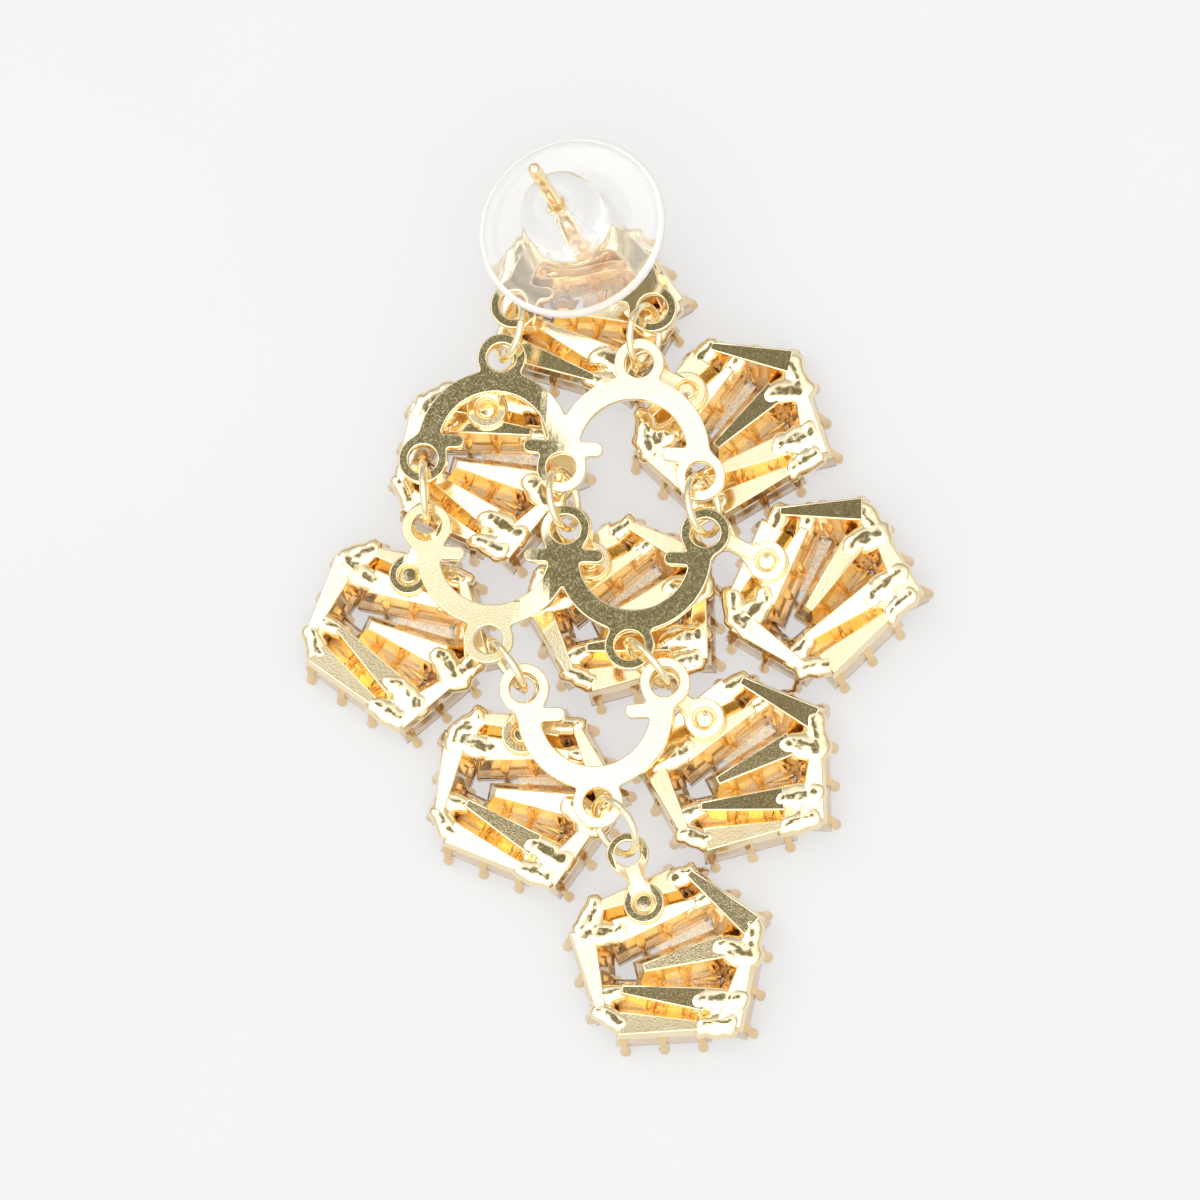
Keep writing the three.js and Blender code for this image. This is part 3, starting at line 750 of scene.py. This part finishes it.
# Radius and height above the arch: the solder cup, and the ear post with its notch near the tip.
CUP = [(0.9, -0.5), (1.13, -0.4), (1.16, 0.0), (1.15, 0.22), (1.08, 0.33), (0.95, 0.35), (0.84, 0.28),
       (0.78, 0.1), (0.7, -0.02), (0.5, 0.02), (0.44, 0.2)]
POST = [(0.2, -0.3), (0.39, -0.28), (0.39, 8.55), (0.36, 8.66), (0.28, 8.8), (0.27, 8.95), (0.28, 9.1),
        (0.36, 9.22), (0.39, 9.34), (0.39, 10.8), (0.36, 10.98), (0.27, 11.12), (0.12, 11.2)]
CUP_SIDES, POST_SIDES = 32, 24


def top_fittings(bm):
    """Arch, solder posts, cup and ear post of the top cluster, in plan coordinates."""
    field, box = plate_field(ARCH, False)
    plate = stamped(field, box, PLATE_THICK, ARCH_EDGE)
    moved(plate, ARCH, ARCH_Z)
    take(bm, plate)
    for angle in STILT_ANGLES:
        a = math.radians(angle)
        x, y = place((STILT_REACH * math.cos(a), STILT_REACH * math.sin(a)), ARCH)
        rings = []
        for r, z in STILT:
            spokes = [2 * math.pi * i / STILT_SIDES for i in range(STILT_SIDES)]
            rings.append([(x + r * math.cos(s), y + r * math.sin(s), z) for s in spokes])
        stack(bm, rings, METAL, True)
    turned(bm, CUP, CUP_SIDES, upright=True)
    turned(bm, POST, POST_SIDES)


# Seats whose backs lie level; the others are tipped a little, as soldered by hand.
LEVEL = {"right": "d", "upper_right": "dg", "lower_right": "dgh", "lower_left": "h", "bottom": "dgh",
         "upper_left": "f", "center": "h", "left": "", "top": "b"}


# How far each cluster's pad leans, where it isn't as the others.
TAB_LEAN = {"bottom": 0.0, "left": 0.0, "right": -0.09, "lower_right": -0.08}
OTHER_TAB_LEAN = 0.09
LEVEL_TIP, HAND_TIP, ALONG_TIP, TIP_VARIES = 0.015, 0.13, 0.012, 0.2
FIRST_SEED = 11


def cluster(name, at, seed):
    pick = random.Random(seed)
    bm = bmesh.new()
    for key in STONES:
        tip = LEVEL_TIP if key in LEVEL[name] else HAND_TIP
        across = pick.choice((-1, 1)) * tip * pick.uniform(1 - TIP_VARIES, 1 + TIP_VARIES)
        seat(bm, key, across, pick.uniform(-ALONG_TIP, ALONG_TIP))
        stone(bm, key)
    for item in BRIDGES:
        bridge(bm, *item)
    for key, side, places in PRONGS:
        for distance in places:
            prong(bm, key, side, distance)
    take(bm, solder(seed))
    moved(bm, at, 0)
    ring = next((r for r in RINGS.values() if r[4] == name), None)
    if ring:
        take(bm, tab(place(PAD_AT, at), ring[3], TAB_LEAN.get(name, OTHER_TAB_LEAN)))
    else:
        top_fittings(bm)
    # The claw slot takes the darker claw gold, which is painted shade.
    obj = to_mesh(f"set_{name}", bm, [CAST, TINTED_CRYSTAL, FOIL, CLAW_SHADED_GOLD])
    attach(obj, "earring")
    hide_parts(f"cluster_{name}")


for index, (name, at) in enumerate(CLUSTERS.items()):
    cluster(name, at, FIRST_SEED + index)

# Slopes of a plate's first and last arch, and where along it the bend lies.
LEANS = {"upper": (0.008, 0.105), "middle": (0.1, 0.0), "lower": (-0.077, -0.077)}
BENDS = {"upper": -0.3, "middle": -1.5, "lower": 0.0}
for name, plate in PLATES.items():
    field, box = plate_field(plate, True)
    bm = stamped(field, box, PLATE_THICK, PLATE_EDGE)
    leaned(bm, plate, LEANS[name], BENDS[name])
    moved(bm, plate, PLATE_Z)
    obj = to_mesh(f"arch_{name}", bm, [GOLD])
    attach(obj, "earring")
    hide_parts(f"plate_{name}")

# A ring is bent from wire and leaves a fine seam; the angle is where the seam starts.
RING_STEPS, WIRE_SIDES, SEAM_ANGLE, BENT_SHARE = 60, 12, 100, 0.996
for name, (centre, run, rise, _, _) in RINGS.items():
    bm = bmesh.new()
    sideways = run.cross(rise)
    rings = []
    for i in range(RING_STEPS + 1):
        a = math.radians(SEAM_ANGLE) + 2 * math.pi * BENT_SHARE * i / RING_STEPS
        out = run * math.cos(a) + rise * math.sin(a)
        ring = []
        for k in range(WIRE_SIDES):
            b = 2 * math.pi * k / WIRE_SIDES
            ring.append(centre + out * (RING_R + WIRE * math.cos(b)) + sideways * WIRE * math.sin(b))
        rings.append(ring)
    stack(bm, rings, METAL, True)
    obj = to_mesh(f"link_{name}", bm, [GOLD])
    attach(obj, "earring")
    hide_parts(f"jump_ring_{name}")

# The nut's radius and height, from the bore under the disc, round its rim and over the hub.
NUT_PROFILE = [
    (0.50, 0.0), (1.6, 0.0), (3.4, 0.02), (5.1, 0.05), (5.38, 0.1), (5.5, 0.24), (5.5, 0.46), (5.4, 0.62),
    (5.2, 0.7), (4.6, 0.62), (3.4, 0.6), (2.7, 0.68), (2.45, 0.82), (2.36, 1.1), (2.35, 2.2), (2.33, 3.1),
    (2.2, 3.6), (1.95, 3.95), (1.6, 4.18), (1.2, 4.29), (0.8, 4.3), (0.56, 4.24), (0.5, 4.1), (0.5, 2.0),
]
NUT_RISE, NUT_SIDES, RIM_HIGHLIGHT_FROM_R = 1.5, 72, 5.0
bm = bmesh.new()
turned(bm, [(r, z + NUT_RISE) for r, z in NUT_PROFILE], NUT_SIDES, NUT_BODY, closed=True)
# Faces near the disc's edge take the whiter rim plastic, a painted highlight for the bright band there.
for f in bm.faces:
    offset = f.calc_center_median() - POST_FOOT
    if (offset - AXIS * offset.dot(AXIS)).length > RIM_HIGHLIGHT_FROM_R:
        f.material_index = NUT_RIM
obj = to_mesh("clear_nut", bm, [PLASTIC, RIM_HIGHLIGHT], NUT_SHARP_ANGLE, flats=False)
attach(obj, "nut")
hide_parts("ear_nut")


# Floor, light and camera, in metres.

# The floor's glow is painted light, which keeps the shadows on it pale.
FLOOR_SIZE, FLOOR_DROP, FLOOR_SHADOW_GLOW = 0.9, 0.00002, 0.62


def floor():
    mat, tree, bsdf = nodes_of("glowing_floor")
    grain = noise(tree, FLOOR_SCALE, 2)
    # Cool grey base colour: under the warm glow the lit floor comes out neutral and its shadows pinkish, a
    # painted shade colour.
    colour = ramp(tree, grain.outputs["Fac"], [(0.3, (0.205, 0.225, 0.23)), (0.7, (0.215, 0.235, 0.24))])
    tree.links.new(colour.outputs[0], bsdf.inputs["Base Color"])
    bsdf.inputs["Roughness"].default_value = 0.8
    bsdf.inputs["Specular IOR Level"].default_value = 0.1
    # Painted light: the floor glows, so the shadows on it stay pale, and as the glow is warmer than the base
    # colour they are painted pinkish.
    bsdf.inputs["Emission Color"].default_value = (1.0, 0.955, 0.94, 1)
    bsdf.inputs["Emission Strength"].default_value = FLOOR_SHADOW_GLOW
    bm = bmesh.new()
    bmesh.ops.create_grid(bm, x_segments=8, y_segments=8, size=FLOOR_SIZE)
    mesh = bpy.data.meshes.new("floor")
    bm.to_mesh(mesh)
    bm.free()
    mesh.materials.append(mat)
    obj = bpy.data.objects.new("floor", mesh)
    bpy.context.scene.collection.objects.link(obj)
    obj.location.z = -FLOOR_DROP


floor()

world = bpy.data.worlds.new("studio")
bpy.context.scene.world = world
world.use_nodes = True
tree = world.node_tree
tree.nodes.clear()
out = tree.nodes.new("ShaderNodeOutputWorld")
back = tree.nodes.new("ShaderNodeBackground")
coord = tree.nodes.new("ShaderNodeTexCoord")


def toward(direction):
    """Cosine of the angle between a look direction and the given one."""
    dot = tree.nodes.new("ShaderNodeVectorMath")
    dot.operation = "DOT_PRODUCT"
    dot.inputs[1].default_value = Vector(direction).normalized()
    tree.links.new(coord.outputs["Generated"], dot.inputs[0])
    return dot.outputs["Value"]


# A white tent, brightest behind the camera and dimmer beyond the earring's top: cosine and colour.
TENT_AT = (0, -0.35, 0.94)
TENT = [(0.0, (0.24, 0.24, 0.24)), (0.3, (0.34, 0.34, 0.34)), (0.55, (0.50, 0.50, 0.495)),
        (0.72, (0.64, 0.64, 0.63)), (0.86, (0.90, 0.90, 0.89)), (1.0, (1.0, 1.0, 1.0))]
# The dark lens side of the camera, which the level flats mirror.
CARD_AT = (-0.075, 0.24, 0.968)
CARD = [(0.0, (1.0, 1.0, 1.0)), (0.984, (1.0, 1.0, 1.0)), (0.9905, (0.12, 0.11, 0.066)),
        (1.0, (0.10, 0.092, 0.054))]
WORLD_STRENGTH = 2.1
tent = ramp(tree, toward(TENT_AT), TENT)
card = ramp(tree, toward(CARD_AT), CARD)
both = tree.nodes.new("ShaderNodeMix")
both.data_type = "RGBA"
both.blend_type = "MULTIPLY"
both.inputs[0].default_value = 1.0
tree.links.new(tent.outputs[0], both.inputs[6])
tree.links.new(card.outputs[0], both.inputs[7])
tree.links.new(both.outputs[2], back.inputs["Color"])
back.inputs["Strength"].default_value = WORLD_STRENGTH
tree.links.new(back.outputs[0], out.inputs[0])


KEY_AT, KEY_SIZE, KEY_POWER, KEY_COLOUR = (-0.4, 0.3, 0.6), 0.4, 0.8, (1.0, 0.99, 0.97)
key = bpy.data.lights.new("key", "AREA")
key.shape = "DISK"
key.size = KEY_SIZE
key.energy = KEY_POWER
key.color = KEY_COLOUR
lamp = bpy.data.objects.new("key", key)
bpy.context.scene.collection.objects.link(lamp)
lamp.location = KEY_AT
lamp.rotation_euler = (-Vector(KEY_AT)).to_track_quat("-Z", "Y").to_euler()

bpy.context.scene.view_settings.view_transform = "Standard"
bpy.context.scene.view_settings.look = "None"
bpy.context.scene.cycles.glossy_bounces = 10

# The lens axis is OFF_PLUMB degrees off straight down in the photograph; the camera keeps its place
# and turns, without rolling, until the earring is in the middle. Millimetres.
CAMERA_AT, CAMERA_AIM = (30.264, -67.408, 295.1), (-0.6, -0.6, 4.0)
OFF_PLUMB, SENSOR, LENS, NEAREST = 14, 36.0, 158.0, 0.01
cam_data = bpy.data.cameras.new("camera")
cam = bpy.data.objects.new("camera", cam_data)
bpy.context.scene.collection.objects.link(cam)
cam.location = Vector(CAMERA_AT) * MM
tilt = math.radians(OFF_PLUMB)
axis = Vector((0, math.sin(tilt), -math.cos(tilt)))
look = Vector(CAMERA_AIM) * MM - cam.location
level = Matrix.Rotation(tilt, 3, "X").to_quaternion()
cam.rotation_mode = "QUATERNION"
cam.rotation_quaternion = axis.rotation_difference(look) @ level
cam_data.sensor_width = SENSOR
cam_data.lens = LENS
cam_data.clip_start = NEAREST
bpy.context.scene.camera = cam
